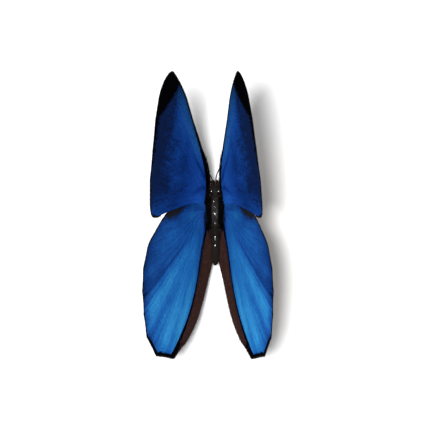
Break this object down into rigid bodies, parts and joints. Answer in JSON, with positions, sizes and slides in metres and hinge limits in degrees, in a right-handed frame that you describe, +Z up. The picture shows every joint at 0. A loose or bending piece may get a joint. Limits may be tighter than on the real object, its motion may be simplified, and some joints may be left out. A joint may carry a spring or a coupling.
{
  "type": "blue morpho butterfly",
  "caption": "Life-size blue morpho butterfly standing on its walking legs, with its wings raised in a steep V over a slim dark body.",
  "frame": {"origin": "on the ground under the middle of the whole outline", "axes": "+Y towards the head, +X towards the animal's own right side, +Z up"},
  "size_m": [0.0414, 0.0898, 0.0785],
  "materials": {
    "forewing_scales": "deep metallic blue scales with a black tip and thin black edges, satin",
    "hindwing_scales": "brighter metallic blue scales fanning from the root, black edges and a brown inner field, satin",
    "body_coat": "short dark grey-brown hair over glossy black cuticle",
    "eye_lens": "dark brown compound eye, finely faceted and glossy",
    "cuticle": "dark brown cuticle of legs, antennae and tongue, semi-gloss"
  },
  "bodies": {
    "root": {"head": "body_coat", "thorax": "body_coat", "abdomen": "body_coat", "proboscis": "cuticle", "eye_right": "eye_lens", "eye_left": "eye_lens", "palp_right": "body_coat", "palp_left": "body_coat", "antenna_right": "cuticle", "antenna_left": "cuticle", "forewing_right": "forewing_scales", "forewing_left": "forewing_scales", "hindwing_right": "hindwing_scales", "hindwing_left": "hindwing_scales", "foreleg_right": "cuticle", "foreleg_left": "cuticle", "midleg_right": "cuticle", "midleg_left": "cuticle", "hindleg_right": "cuticle", "hindleg_left": "cuticle"}
  },
  "joints": []
}
